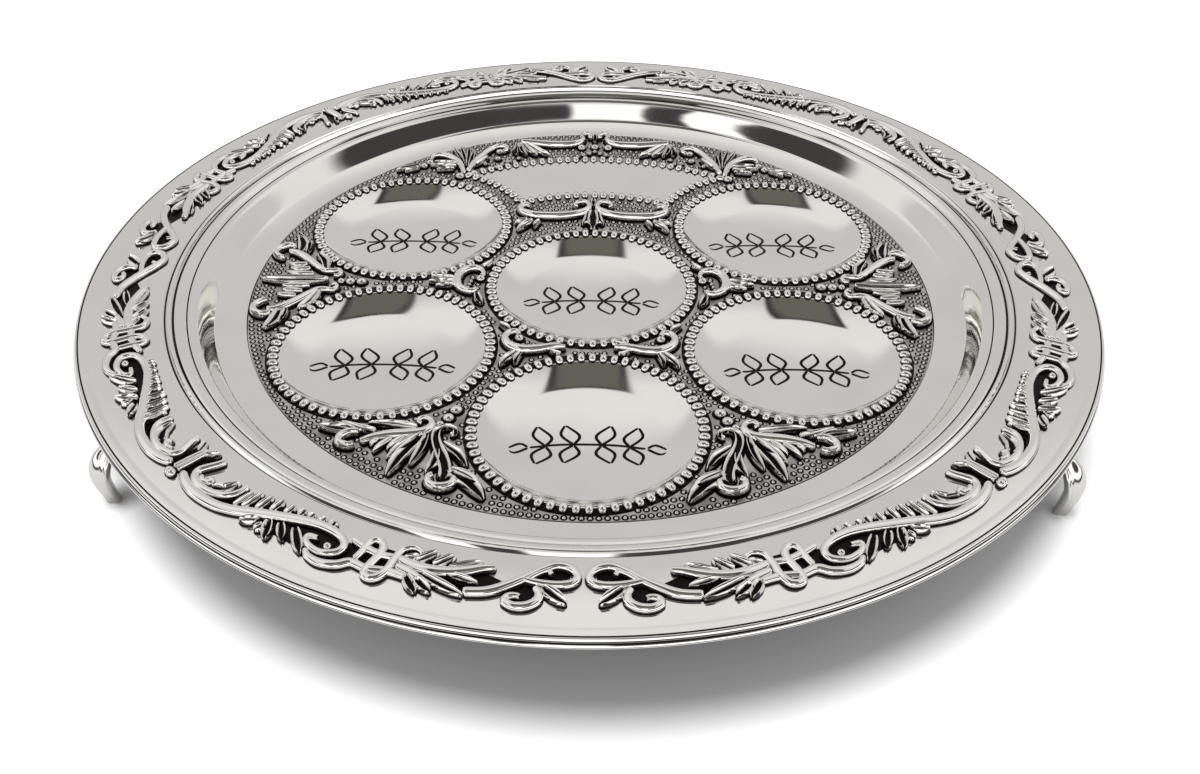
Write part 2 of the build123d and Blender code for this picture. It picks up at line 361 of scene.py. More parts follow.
def metal(name, base, roughness, bump=0.0, bump_scale=40.0):
    """Metal with slightly uneven polish, and shallow dents if asked."""
    material, graph = blank_material(name)
    place = graph.add("ShaderNodeTexCoord").outputs["Object"]
    cloud = graph.add("ShaderNodeTexNoise", Vector=place, Scale=35.0, Detail=3.0).outputs["Fac"]
    polish = graph.remap(cloud, 0.3, 0.7, roughness * 0.75, roughness * 1.3)
    shade = graph.mix(graph.remap(cloud, 0.3, 0.7), colour(0.96, base), colour(1.0, base))
    skin = metal_skin(graph, shade, polish)
    if bump:
        wave = graph.add("ShaderNodeTexNoise", Vector=place, Scale=bump_scale, Detail=2.0).outputs["Fac"]
        dents = graph.add("ShaderNodeBump", Strength=bump, Distance=MM, Height=wave)
        graph.put(skin.inputs["Normal"], dents.outputs["Normal"])
    return material


def oxidised_with_painted_shade(name, base, foot, top, roughness):
    """Silver that is black at the foot of the relief and buffed towards the top: the black is oxide in the
    hollows and also painted shade on the relief's lower sides.
    """
    material, graph = blank_material(name)
    place = graph.add("ShaderNodeTexCoord").outputs["Object"]
    height = graph.add("ShaderNodeSeparateXYZ", Vector=place).outputs["Z"]
    cloud = graph.add("ShaderNodeTexNoise", Vector=place, Scale=260.0, Detail=3.0).outputs["Fac"]
    drift = graph.math("MULTIPLY_ADD", graph.math("SUBTRACT", cloud, 0.5), 0.6 * MM, height)
    # Silver against black by height: oxide low in the hollows, and painted shade on the lower sides of the
    # relief
    lighter = graph.remap(drift, (base + foot) * MM, (base + top) * MM)
    shade = graph.mix(lighter, colour(1.0, OXIDE_AND_PAINTED_SHADE), colour(1.0, SILVER))
    metal_skin(graph, shade, graph.remap(lighter, 0.0, 1.0, 0.55, roughness))
    return material


def matted(name):
    """Grey, part-blackened ground between the dots of the stipple."""
    material, graph = blank_material(name)
    place = graph.add("ShaderNodeTexCoord").outputs["Object"]
    cloud = graph.add("ShaderNodeTexNoise", Vector=place, Scale=140.0, Detail=4.0).outputs["Fac"]
    dull, lighter = colour(0.3, (1.0, .97, .92)), colour(0.62, (1.0, .975, .93))
    metal_skin(graph, graph.mix(graph.remap(cloud, 0.3, 0.7), dull, lighter), 0.38)
    return material


polished = metal("silver_polished", SILVER, 0.07, 0.03, 22.0)
dish_silver = metal("silver_dish", SILVER, 0.09)
satin = metal("silver_satin", SILVER, 0.24)
cast = metal("silver_cast", (0.88, 0.868, 0.845), 0.13)
steel = metal("steel_turned", (0.62, 0.62, 0.63), 0.3)
# Black for oxide in the rim recesses, the sprig lines, and painted shade in the tray's creases and round the
# sprays
black = metal("silver_oxide_and_painted_shade", OXIDE_AND_PAINTED_SHADE, 0.5)
ground = matted("silver_ground")
# Relief, mounts and pearls go black towards their foot: oxide in the hollows, and painted shade on their
# lower sides
relief = oxidised_with_painted_shade("silver_relief", face, 0.6, 1.7, 0.11)
rim_silver = oxidised_with_painted_shade("silver_mounts", rim, 0.3, 1.35, 0.09)
bead_silver = oxidised_with_painted_shade("silver_beads", face, 0.4, 1.1, 0.1)


# Tray

def well_wall(foot, well):
    """Section of the well, from its shallow foot up the steep wall to the shoulder."""
    steepness = tan(radians(wall_slope))
    wall = arc((foot, well), 5, 13, wall_foot - foot, 10)
    wall += arc(wall[-1], 13, wall_slope, 1.6, 8)[1:]
    radius, height = wall[-1]
    run = (-shoulder_drop - height) / steepness - .75
    wall += [(radius + run * t, height + run * t * steepness) for t in (.33, .67, 1)]
    wall += arc(wall[-1], wall_slope, 12, 1.7, 8)[1:]
    wall.append((shoulder_radius, -shoulder_drop - .02))
    return wall


def tray_profile():
    """Closed outline of the tray's sheet, over the top and back underneath, and its steps painted black:
    painted shade in the grooves, and a painted dark reflection on the lip's face.
    """
    edge = plate_radius
    lip = [(1.0, -lip_depth), (.2, -lip_depth), (.03, -2.92), (0, -2.8), (.06, -2.62), (.42, -2.0),
           (.52, -1.92), (.62, -1.7), (.62, -1.3), (.66, -1.1), (1.12, -.25), (1.3, -.06), (1.5, 0),
           (1.75, -.05), (1.9, -.3), (2.1, -.3), (2.3, -.05), (2.6, 0)]
    lip = [(edge - inward, z) for inward, z in lip]
    step = [(edge - inward, z) for inward, z in ((4.6, 0), (5.2, -.06), (5.8, -.06), (6.6, 0))]
    mouldings = [(0, 0), (.5, -.1), (.8, -.7), (1.2, -.75), (1.6, -.3), (2.0, .1), (2.6, .2), (3.2, -.1),
                 (3.5, -.8), (3.7, -1.4), (4.0, -1.6), (4.3, -1.45), (5.0, -1.3), (6.0, -1.4), (7.2, -1.8),
                 (8.1, -2.4), (8.4, -3.0), (8.7, -3.2), (8.9, -3.15)]
    mouldings = [(moulding_edge - inward, z) for inward, z in mouldings]
    well = face - rim
    foot = medallion_radius + .5
    wall = well_wall(foot, well)
    seat = [(foot - .2, well - .5), (foot - .3, well - sheet), (ledge_radius, well - sheet)]
    under = [(ledge_radius, well - 2 * sheet), (foot + .6, well - 2 * sheet)]
    under += [(r + .8, z - sheet) for r, z in wall[2:]]
    under += [(moulding_edge - inward, z) for inward, z in ((4.2, -3.0), (1.2, -2.1), (-.6, -sheet))]
    under += [(edge - 1.9, -sheet), (edge - 1.75, -1.6), (edge - 1.7, -2.6)]
    outline = lip + step + mouldings + wall[::-1] + seat + under
    # Steps painted black: painted shade in the lip's groove and the mouldings' creases, and a painted dark
    # reflection on the lip's outer face
    grooves = [lip[k] for k in (6, 7, 8, 13, 14, 15)] + [mouldings[k] for k in (2, 9, 10, 16, 17)]
    return [(r, rim + z) for r, z in outline], [outline.index(groove) for groove in grooves]


def make_tray():
    shape = Shape()
    outline, dark = tray_profile()
    lathe(shape, outline, steps=360, lines=dark)
    shape.piece("tray_body", [polished, black], ["tray"], 35.0)


# Medallion: ground, dishes, cartouche

def circle(centre, radius, count):
    turn = np.arange(count) * 2 * pi / count
    return np.stack([centre[0] + radius * np.cos(turn), centre[1] + radius * np.sin(turn)], -1)


def pierced_plate(shape, outer, holes, low, high):
    """Flat plate with round holes in it."""
    work = bmesh.new()
    for loop in [outer] + holes:
        corners = [work.verts.new((x, y, 0.0)) for x, y in loop]
        for one, two in zip(corners, corners[1:] + corners[:1]):
            work.edges.new((one, two))
    bmesh.ops.triangle_fill(work, use_beauty=True, use_dissolve=False, edges=work.edges[:])
    work.verts.index_update()
    flat = np.array([(v.co.x, v.co.y) for v in work.verts])
    skin = [[v.index for v in f.verts] for f in work.faces]
    work.free()
    count = len(flat)
    points = np.concatenate([np.column_stack([flat, np.full(count, z)]) for z in (low, high)])
    faces = skin + [[i + count for i in f] for f in skin]
    start = 0
    for loop in [outer] + holes:
        size = len(loop)
        for i in range(size):
            j = (i + 1) % size
            faces.append([start + i, start + j, start + j + count, start + i + count])
        start += size
    shape.add(points, faces)


def make_ground():
    shape = Shape()
    holes = [circle(centre, dish_edge + .5, 96) for centre in roundels.values()]
    pierced_plate(shape, circle((0, 0), medallion_radius, 240), holes, face - sheet, face)
    shape.piece("medallion_ground", [ground], ["medallion"], 30.0)


dish_wall = arc((dish_bend, 0.0), floor_slope, dish_slope, dish_edge - dish_bend, 14)
floor_sag = arc((0.0, 0.0), 0.0, floor_slope, dish_bend, 10)
dish_floor = face - dish_wall[-1][1] - floor_sag[-1][1] + .05


def dish_height(r):
    """Height of the dish floor at a distance from its middle."""
    bend = dish_bend / sin(radians(floor_slope))
    return dish_floor + bend - np.sqrt(bend ** 2 - r ** 2)


def make_dishes():
    shape = Shape()
    rise = floor_sag[-1][1]
    top = [(r, z + dish_floor) for r, z in floor_sag] + [(r, z + rise + dish_floor) for r, z in dish_wall[1:]]
    top += [(dish_edge + .5, face + .05), (dish_edge + .6, face - .2)]
    under = [(r, z - sheet) for r, z in top[:-3]]
    profile = top + [(dish_edge + .3, face - sheet)] + under[::-1]
    for centre in roundels.values():
        lathe(shape, profile, centre, 128, closed=False)
    shape.piece("medallion_dishes", [dish_silver], ["medallion"], 35.0)


def sprig(pen):
    """Engraved spray of outlined leaves, in place of a word."""
    line = 1.25
    pen.stroke([(-21, -3.4), (-11, -.8), (0, 0), (11, -.8), (21, -3.4)], (line, line, line))
    for x, drop in ((-15, -1.9), (-5, -.3), (5, -.3), (15, -1.9)):
        lean = 3.4 if x > 0 else -3.4
        for side in (1, -1):
            tip = (x + lean, drop + side * 10.5)
            for bulge in (-3.3, 3.3):
                belly = (x + lean * .4 + bulge, drop + side * 5)
                pen.stroke([(x, drop), belly, tip], (line, line, line * .8))
    for end in (-1, 1):
        for bulge in (2.6, -2.6):
            belly = (end * 25 - bulge * .3 * end, -4.4 + bulge)
            pen.stroke([(end * 21, -3.4), belly, (end * 29, -5.4)], (line, line, line * .7))


def make_sprigs():
    shape = Shape()

    def in_dish(centre):
        return lambda u, v, up: (centre[0] + u, centre[1] + v, dish_height(np.hypot(u, v)) - .02 + up)

    sprig(Pen(shape, [in_dish(centre) for centre in roundels.values()], film, spacing=.8))
    shape.piece("medallion_sprigs", [black], ["medallion"])


def cartouche_outline(inset=0.0, spacing=0.5):
    """Closed line round the cartouche: two arcs about the middle and two about the upper roundels."""
    right = roundels["30"]
    far = hypot(*right)
    lean = atan2(right[1], right[0])
    side = cartouche_side + inset
    corners = []
    for radius in (cartouche_outer - inset, cartouche_inner + inset):
        swing = (far ** 2 + radius ** 2 - side ** 2) / (2 * far * radius)
        turn = lean + np.arccos(swing)
        corners.append((radius, turn))
    parts = []
    (out, out_turn), (low, low_turn) = corners
    steps = int(out * (pi - 2 * out_turn) / spacing)
    parts.append([(out * cos(t), out * sin(t)) for t in np.linspace(out_turn, pi - out_turn, steps)])
    start = atan2(out * sin(out_turn) - right[1], out * cos(out_turn) - right[0])
    stop = atan2(low * sin(low_turn) - right[1], low * cos(low_turn) - right[0])
    side_steps = int(side * abs(stop - start) / spacing)
    turns = np.linspace(start, stop, side_steps)
    flank = [(right[0] + side * cos(t), right[1] + side * sin(t)) for t in turns]
    parts.append([(-x, y) for x, y in flank[1:-1]])
    steps = int(low * (pi - 2 * low_turn) / spacing)
    parts.append([(low * cos(t), low * sin(t)) for t in np.linspace(pi - low_turn, low_turn, steps)])
    parts.append(flank[-2:0:-1])
    return np.array([point for part in parts for point in part])


def make_cartouche():
    shape = Shape()
    pen = Pen(shape, [lambda u, v, up: (u, v, face + up)], 1.0)
    pen.patch(cartouche_outline(bead_length / 2 - .4, 1.2), cartouche_rise, 0)
    shape.piece("medallion_cartouche", [dish_silver], ["medallion"], 30.0)


# Pearls

def bead(shape, at, outward):
    """One pearl, a little longer across its border than along it."""
    lean = np.radians([0, 15, 38, 64, 90])[:, None]
    sides = 12
    turn = np.arange(sides) * 2 * pi / sides
    square = .75
    u = bead_length / 2 * np.cos(lean) ** .6 * np.sign(np.cos(turn)) * np.abs(np.cos(turn)) ** square
    v = bead_width / 2 * np.cos(lean) ** .6 * np.sign(np.sin(turn)) * np.abs(np.sin(turn)) ** square
    x = at[0] + u * outward[0] - v * outward[1]
    y = at[1] + u * outward[1] + v * outward[0]
    z = np.broadcast_to(face + bead_height * np.sin(lean), x.shape)
    faces = grid_faces(len(lean), sides, False, True) + [tuple(range(sides))]
    shape.add(np.stack([x, y, z], -1), faces)


def make_roundel_pearls(name, centre):
    """Ring of pearls on a black bed."""
    shape = Shape()
    for turn in np.arange(beads_in_ring) * 2 * pi / beads_in_ring:
        way = (cos(turn), sin(turn))
        bead(shape, (centre[0] + bead_line * way[0], centre[1] + bead_line * way[1]), way)
    inner, outer = bead_line - 1.0, bead_line + 2.9
    bed = [(inner, face - sunk), (inner, face + .08), (outer, face + .08), (outer, face - sunk)]
    lathe(shape, bed, centre, 96, slot=1)
    shape.piece("pearls_" + name, [bead_silver, black], ["pearl_border_" + name], 60.0)


def make_cartouche_pearls():
    shape = Shape()
    line = cartouche_outline()
    run = np.concatenate([[0], np.cumsum(np.hypot(*np.diff(np.vstack([line, line[:1]]), axis=0).T))])
    count = round(run[-1] / bead_pitch)
    for step in range(count):
        near = int(np.searchsorted(run, run[-1] * step / count)) % len(line)
        along = line[(near + 2) % len(line)] - line[near - 2]
        along = along / hypot(*along)
        bead(shape, line[near], (along[1], -along[0]))
    shape.piece("pearls_cartouche", [bead_silver], ["cartouche_border"], 60.0)


# Medallion relief

def lower_spray(pen):
    for at, size in (((47.5, -83), 2.4), ((49.8, -87.6), 2.2), ((52.4, -91.4), 1.6)):
        pen.ball(at, size, .8)
    pen.stroke([(58.6, -91.8), (60.2, -90.4), (58.6, -88.6), (56, -89.6), (55.2, -92.6), (57.5, -95.6),
                (62.5, -96.8), (69, -97.6), (75, -99.4), (79.3, -102.2)], (1.4, 1.8, 3.2, 3.8, 4, 3.4, 2.2))
    pen.stroke([(79.6, -97.2), (83.5, -97.3), (86.4, -99.8), (86.2, -102.9), (83, -104.4), (80.5, -103.6)],
               (2, 2.6, 2.8, 2.4, 1.8), 1.3)
    pen.leaf((59.8, -94), (78, -92.2), 3.0, 1.0)
    pen.leaf((74, -96.2), (87.8, -91.6), 2.8, -.6)
    pen.leaf((80.5, -97.2), (95.4, -93.8), 4.6, .8)
    for root, tip in (((63.5, -98.6), (69.2, -106.2)), ((67.8, -99.8), (73.8, -107.6)),
                      ((72.5, -100.4), (75, -104.4))):
        pen.finger(root, tip, 2.0, .8)
    pen.leaf((56, -97), (60.2, -114.2), 3.0, -.6)
    pen.leaf((57, -97.2), (67.4, -119), 5.2, 1.2)
    pen.leaf((59, -98), (68.4, -111), 2.8, 1.0)
    pen.stroke([(48.4, -98), (46.6, -97.1), (46.8, -94.9), (49.5, -93.5), (52.4, -95.1), (53, -99),
                (51.8, -104), (49.6, -109.5), (48, -115.5), (48.2, -121)],
               (1.4, 1.8, 3, 3.6, 4.2, 4.4, 3.6), 1.0, LEAF)
    pen.stroke([(44.2, -120), (45.2, -123.4), (48.7, -124.8), (52.4, -123.4), (53.2, -120.4), (51.2, -119)],
               (2, 2.8, 3, 2.6, 1.8), 1.3)
    pen.leaf((50.5, -102), (40.8, -114.4), 3.4, -1.2)
    pen.leaf((51.6, -105.6), (54.2, -118.2), 3.2, -.8)
    pen.leaf((46.8, -116), (33.8, -130.2), 5.4, -1.4)
    pen.leaf((46.4, -115.6), (36, -122.6), 3.0, -1.0)


def side_spray(pen):
    pen.stroke([(107.6, 3.4), (105.6, 3.2), (104.4, 5.2), (105.8, 7.4), (108.6, 7), (111.6, 7.2),
                (115, 10.2), (118.6, 14.4), (123, 18.8), (127, 21.4), (130, 21.6)],
               (1.4, 1.8, 2.4, 3, 3.4, 3.4, 2.4))
    pen.stroke([(127, 24.6), (130.4, 26), (133.8, 24), (134.9, 20.2), (132.6, 16.8), (130, 15.8)],
               (1.8, 2.6, 2.8, 2.4, 1.8), 1.3)
    pen.leaf((124.4, 21.6), (127.6, 35.4), 4.4, 1.0)
    pen.leaf((121.8, 20.6), (122.6, 31), 2.4, .4)
    pen.leaf((111, 8), (117.3, 21.2), 3.8, 1.0)
    pen.leaf((110.2, 8), (112.8, 18), 2.0, .6)
    for root, tip, width in (((119.5, 12), (128, 11.6), 2.6), ((117.6, 8.6), (126.6, 8.2), 2.4),
                             ((115.4, 4.6), (127.4, 5.2), 2.6)):
        pen.finger(root, tip, width, -.5)


def side_middle(pen):
    for x, size in ((95.2, 2.3), (99.8, 2.1), (103.6, 1.6)):
        pen.ball((x, 0), size, .8)
    pen.leaf((108.6, 0), (136.8, 0), 5.4)


def top_branch(pen):
    pen.stroke([(3.6, 133.6), (2.2, 132.6), (2, 135.4), (4.4, 136.2), (6.4, 133.8), (6, 130), (8.4, 126.6),
                (14, 125.2), (22, 125.2), (30, 126.2), (37, 127)], (1.2, 1.6, 2.6, 3.8, 4.2, 3.6, 2.6),
               1.25)
    pen.ball((6.5, 122.8), 2.0, .9)
    pen.ball((37.2, 124.6), 1.6, .9)
    for root, tip, width in (((33.5, 125), (21.8, 113), 3.6), ((35.4, 124.4), (27.8, 113), 2.8),
                             ((36.8, 124), (33, 112.6), 2.8), ((38.4, 123), (37.6, 113.2), 2.4)):
        pen.leaf(root, tip, width, .8)
    for at, size in (((46.5, 117.6), 2.2), ((47, 110), 1.7), ((2.6, 116.4), 1.1), ((5.6, 115), 1.0),
                     ((8.2, 112.8), 1.0), ((37, 110.6), 1.0), ((38.6, 106.8), 1.1), ((42, 107), 1.1),
                     ((44.6, 104), 1.1), ((46.8, 101.2), 1.0), ((52.6, 104.4), 1.1)):
        pen.ball(at, size, .7)
    pen.stroke([(45, 116), (43, 118.4), (44, 121.6), (47.6, 122.2), (51.6, 118.4), (55, 112), (58, 105),
                (60.2, 96)], (1.4, 2, 2.6, 3, 3.2, 3, 2.2), 1.1)
    pen.leaf((58.4, 101), (51.4, 111.6), 2.4, .6)
    for root, tip, width in (((60, 100), (59.4, 116.6), 2.2), ((61, 101), (62, 121.2), 2.4),
                             ((61.8, 102.6), (66, 121), 2.4), ((63, 104), (69.4, 119.4), 2.4)):
        pen.leaf(root, tip, width, .3)
    pen.stroke([(62, 94), (64, 101.6), (67.4, 107.8), (72, 111.6), (76.4, 112.2), (79, 109.6), (77.6, 107)],
               (2.2, 2.8, 3, 2.8, 2.2, 1.6), 1.1)
    pen.ball((63.6, 92), 2.2, .9)
    pen.ball((79.4, 105.4), 1.9, .8)
    pen.ball((81.8, 101.8), 1.9, .8)
    for root, tip, width in (((66, 103.4), (77.4, 104.4), 2.2), ((66, 100.6), (79, 101.2), 2.2),
                             ((66.6, 98), (75.4, 96.6), 2.2), ((83, 101.2), (94.4, 95.6), 3.0),
                             ((83.4, 99), (90, 94), 2.0)):
        pen.leaf(root, tip, width, .6)


def top_middle(pen):
    pen.ball((0, 123.4), 1.9, .9)
    pen.ball((0, 118.4), 1.2, .7)
    pen.leaf((0, 138), (0, 127), 2.4)


def centre_scroll(pen):
    pen.stroke([(6.4, 62.6), (8.4, 63.6), (7.2, 66), (4, 66.8), (1.9, 64), (2.6, 60.2), (6.4, 57),
                (13, 55.2), (20, 54.8), (27, 55.4), (32, 58), (33, 61.6), (30.6, 63.8), (28.2, 62)],
               (1.2, 1.6, 2.8, 3.4, 3.8, 3.6, 2.8, 1.6), 1.3)
    pen.leaf((2, 59), (4.6, 47), 2.6, -.6)
    for root, tip, width in (((23.4, 51), (26, 43.8), 2.2), ((26.4, 51), (33.4, 41.4), 3.2),
                             ((28.8, 51.6), (34.8, 47), 2.4)):
        pen.leaf(root, tip, width, .6)


def centre_bud(pen):
    pen.leaf((0, 60), (0, 43.4), 5.0)
    pen.leaf((0, 64), (0, 71), 2.4)


def side_scroll(pen):
    pen.stroke([(46, 3), (45.2, 6.4), (47, 9.6), (50.6, 10.4), (54.4, 7.6), (55.8, 2), (54.2, -4),
                (49.8, -7.2), (46.6, -6)], (1.6, 2.2, 3, 3.6, 3.6, 2.8, 1.8), 1.15)
    pen.ball((46.2, 3.4), 1.9, .9)
    for step in range(4):
        pen.ball((49.4 + .5 * step, 3.4 - 2.4 * step), .9, .7, 8)
    for root, tip, width in (((46.8, -8.4), (44, -16.4), 3.2), ((46, 11.4), (42, 16), 2.4),
                             ((57, 2.6), (67, 3.2), 2.4), ((57, .2), (67.6, -.4), 2.6),
                             ((56.6, -2.4), (64.4, -3.6), 2.2)):
        pen.leaf(root, tip, width, .4)


def lower_scroll(pen):
    pen.stroke([(27.4, -39), (28.4, -35.8), (31.4, -36), (33, -39.6), (31, -44), (26, -46.6), (20, -46.2),
                (14.6, -45), (9, -45.6)], (1.6, 2.4, 3.2, 3.6, 3.6, 3, 1.2), 1.2)
    pen.ball((27.6, -38.6), 1.9, .9)
    for root, tip, width in (((31.6, -34.8), (36.2, -29.4), 2.6), ((26, -48.6), (28.2, -56.8), 2.4),
                             ((28, -48.2), (33.8, -57.6), 3.2), ((16, -44), (10, -41.6), 1.8),
                             ((16, -46.8), (10.6, -49.4), 1.8)):
        pen.leaf(root, tip, width, .6)


def make_sprays():
    """All the sprays and scrolls, mirrored about the plate's axes; gives back where their strokes run."""
    shape = Shape()

    def flipped(across, along):
        return lambda u, v, up: (across * u, along * v, face + up)

    def pen_at(places):
        # Sprays get an outline of painted shade
        return Pen(shape, places, spray_relief, outline=shade_outline_width, bold=1.12)

    halves = [flipped(1, 1), flipped(-1, 1)]
    quarters = halves + [flipped(1, -1), flipped(-1, -1)]
    twice = pen_at(halves)
    for draw in (lower_spray, side_middle, top_branch, centre_scroll, side_scroll, lower_scroll):
        draw(twice)
    four_times = pen_at(quarters)
    side_spray(four_times)
    once = pen_at(halves[:1])
    top_middle(once)
    centre_bud(once)
    shape.piece("medallion_sprays", [relief, black], ["spray_reliefs"], 60.0)
    return np.concatenate(twice.marks + four_times.marks + once.marks)


def stipple_places(marks):
    """Places of the dots: rows about the plate's middle, clear of everything else on the medallion."""
    dots = []
    for radius in np.arange(medallion_radius - 1.5, stipple_pitch, -stipple_pitch):
        count = round(2 * pi * radius / (stipple_pitch * .95))
        dots.extend((radius * cos(turn), radius * sin(turn)) for turn in np.arange(count) * 2 * pi / count)
    x, y = np.array(dots).T
    away = np.hypot(x, y)
    clear = away < medallion_radius - 1.2
    for centre in roundels.values():
        clear &= np.hypot(x - centre[0], y - centre[1]) > bead_line + 3.0
    margin = 2.6
    in_cartouche = (away > cartouche_inner - margin) & (away < cartouche_outer + margin) & (y > 0)
    for name in ("30", "150"):
        centre = roundels[name]
        in_cartouche &= np.hypot(x - centre[0], y - centre[1]) > cartouche_side - margin
    clear &= ~in_cartouche
    for mark_x, mark_y, half in marks:
        clear &= (x - mark_x) ** 2 + (y - mark_y) ** 2 > (half + 1.2) ** 2
    return zip(x[clear], y[clear])


def make_stipple(marks):
    """Raised dots on the ground, each in a black ring."""
    shape = Shape()
    sides = 9
    size, rise, ring = .66, .6, 1.3
    lean = np.radians([0, 40, 90])[:, None]
    turn = np.arange(sides) * 2 * pi / sides
    u = size * np.cos(lean) * np.cos(turn)
    v = size * np.cos(lean) * np.sin(turn)
    w = np.broadcast_to(face - .02 + rise * np.sin(lean), u.shape)
    dot = grid_faces(len(lean), sides, False, True) + [tuple(range(sides))]
    collar = grid_faces(2, sides, False, True) + [tuple(range(sides)), tuple(range(sides, 2 * sides))]
    for x, y in stipple_places(marks):
        shape.add(np.stack([x + u, y + v, w], -1), dot)
        edge = [(x + ring * cos(t), y + ring * sin(t)) for t in turn]
        shape.add([(*point, z) for z in (face - sunk, face + .04) for point in edge], collar, 1)
    shape.piece("medallion_stipple", [satin, black], ["medallion"], 70.0)


# Rim mounts

# Middle line of the mounts, their thin black (oxide and painted shade in the recesses), and the angles over
# which a half mount was read
rim_line = 180.0
rim_film = 0.05
unit_start = -.35
unit_span = 44.45


def axis_scroll(pen):
    """Loop, leaf and hook beside the plate's axis, as (degrees, radius)."""
    pen.stroke([(10.4, 186.0), (8.2, 184.4), (6.4, 181), (5, 177.8), (3.7, 174.6), (2.2, 172.2),
                (.8, 173.4), (.2, 176.4), (.7, 179), (2.2, 179.9), (4.2, 179.3), (5.6, 178.4)],
               (2, 2.2, 2, 1.9, 1.8, 1.7, 1.2))
    pen.stroke([(2.9, 173), (2.8, 174.8), (2.55, 176.6)], (.8, 1.0, 1.6), .8)
    pen.leaf((3.4, 180.8), (1.0, 187.4), 2.9)
    pen.stroke([(4.1, 181.2), (3.6, 183.5), (3.7, 186.3), (4.5, 188.4), (5.6, 188.9), (6.4, 187.6),
                (6.3, 185.8), (5.6, 185.1), (5.0, 185.9)], (1.6, 2, 1.9, 1.7, 1.2))


def acanthus(pen):
    """Spray of acanthus leaves on its stem."""
    pen.stroke([(17.3, 178.6), (15.5, 179.8), (13.5, 180), (11.8, 179), (10.5, 177.6), (9.2, 176),
                (7.9, 175.2)], (2.2, 2.4, 2.4, 2.2, 1.4))
    for root, tip, width in (((14.6, 182.4), (10.1, 187.6), 2.4), ((15, 184), (12.9, 188.8), 2.4),
                             ((15.9, 183.8), (14.2, 190), 2.4), ((12.4, 180.4), (9.1, 182.4), 2.0),
                             ((12.4, 178.6), (9.2, 173.8), 2.2), ((13.9, 178.8), (12.1, 172.8), 2.3),
                             ((15.6, 178.4), (13.8, 172.6), 2.3), ((16.8, 178.6), (15.4, 175.8), 1.8)):
        pen.leaf(root, tip, width)
    pen.stroke([(17.2, 181.4), (15.6, 182.6), (14.4, 184.4)], (1.8, 2, 1.4))


def knot(pen):
    """Plaited knot that binds the spray."""
    pen.stroke([(15.1, 175), (16.2, 173.2), (17.3, 174.6), (17.6, 179), (17.7, 184), (18.2, 187.6),
                (19, 188.4), (19.5, 186.6), (19.4, 183), (19.2, 179), (19.4, 175.5), (20.2, 173.9),
                (20.8, 175.4), (20.9, 180), (21.1, 184)], (1.2, 1.7, 1.8, 1.8, 1.8, 1.7, 1.4))
    pen.stroke([(15.6, 184.8), (17.5, 184.2), (19.5, 185.4), (21.2, 184.8), (22.3, 187.4), (23.8, 188.8),
                (25.2, 188), (25.9, 186)], (1.4, 1.8, 1.8, 2, 1.9, 1.2), .95)
    pen.stroke([(17.5, 178.6), (19.2, 178.9), (21, 177.9), (22.6, 176.4)], (1.6, 1.8, 1.6), .9)


def eye_and_stem(pen):
    """Scroll eye and the long stem that runs out of it."""
    pen.ball((24.25, 182.3), 1.4)
    pen.stroke([(25.4, 180.8), (26.6, 181.6), (26.2, 184), (24.6, 185.4), (23.2, 183.8), (22.8, 181),
                (23.3, 178.2), (24.6, 176.4), (26.5, 175.9), (28.5, 177), (31, 179.6), (33, 182.2),
                (35, 185.4), (37, 187.5), (39.5, 188.2), (41.6, 187.4), (43.1, 185.4)],
               (1.2, 1.5, 1.8, 2, 2.2, 2.3, 2.4, 2.4, 2.4, 2))


def comb(pen):
    """Leaves on the outer side of the stem, and the comb of lobes inside it."""
    for root, tip, width in (((28.4, 180.6), (25.9, 188.6), 2.5), ((30, 181.2), (28.3, 187.2), 2.2),
                             ((31.2, 182), (29.8, 189.4), 2.4), ((32, 183.6), (33.6, 187.8), 2.2),
                             ((31.2, 184), (31.4, 188.4), 2.0), ((25.3, 175.4), (25.5, 172), 1.8),
                             ((26.8, 175.6), (26.6, 172.2), 1.8), ((28, 176), (28, 172.4), 1.8),
                             ((29, 176.8), (29.2, 172.6), 1.8), ((30.4, 178.4), (30.4, 173.2), 1.9),
                             ((31.8, 180), (31.9, 173), 2.0), ((33.2, 181.8), (33.2, 173.8), 2.0),
                             ((34.5, 183.6), (34.4, 174.4), 1.9), ((35.4, 184.6), (35.2, 176), 1.4)):
        pen.leaf(root, tip, width)


def flame(pen):
    """Flame-shaped leaf under the arch of the stem."""
    pen.stroke([(36.4, 175.4), (36.5, 180), (37.4, 183.2), (39, 185.1), (40.6, 185.2), (41.8, 183.8),
                (42.2, 181.5), (41.9, 178.5), (41.5, 175.6), (41.3, 172.8)], (1.2, 1.7, 1.8, 1.8, 1.6, 1.4))
    pen.stroke([(39.4, 183.4), (38.2, 181.6), (37.7, 179.2), (37.4, 176)], (2.2, 2.8, 2.4, .4), .95, LEAF)
    pen.stroke([(41.4, 182.2), (40.6, 183.2), (39.8, 182), (40.5, 180.8)], (1.2, 1.5, 1.6), .9)


def bar(pen):
    """Bar, ball and leaf at the mount's middle."""
    pen.stroke([(44.0, 174), (43.9, 180), (43.9, 186.6)], (1.3, 1.4, 1.4))
    pen.ball((43.9, 188.2), 1.7)
    pen.leaf((43.6, 177), (42.6, 172.2), 1.7)


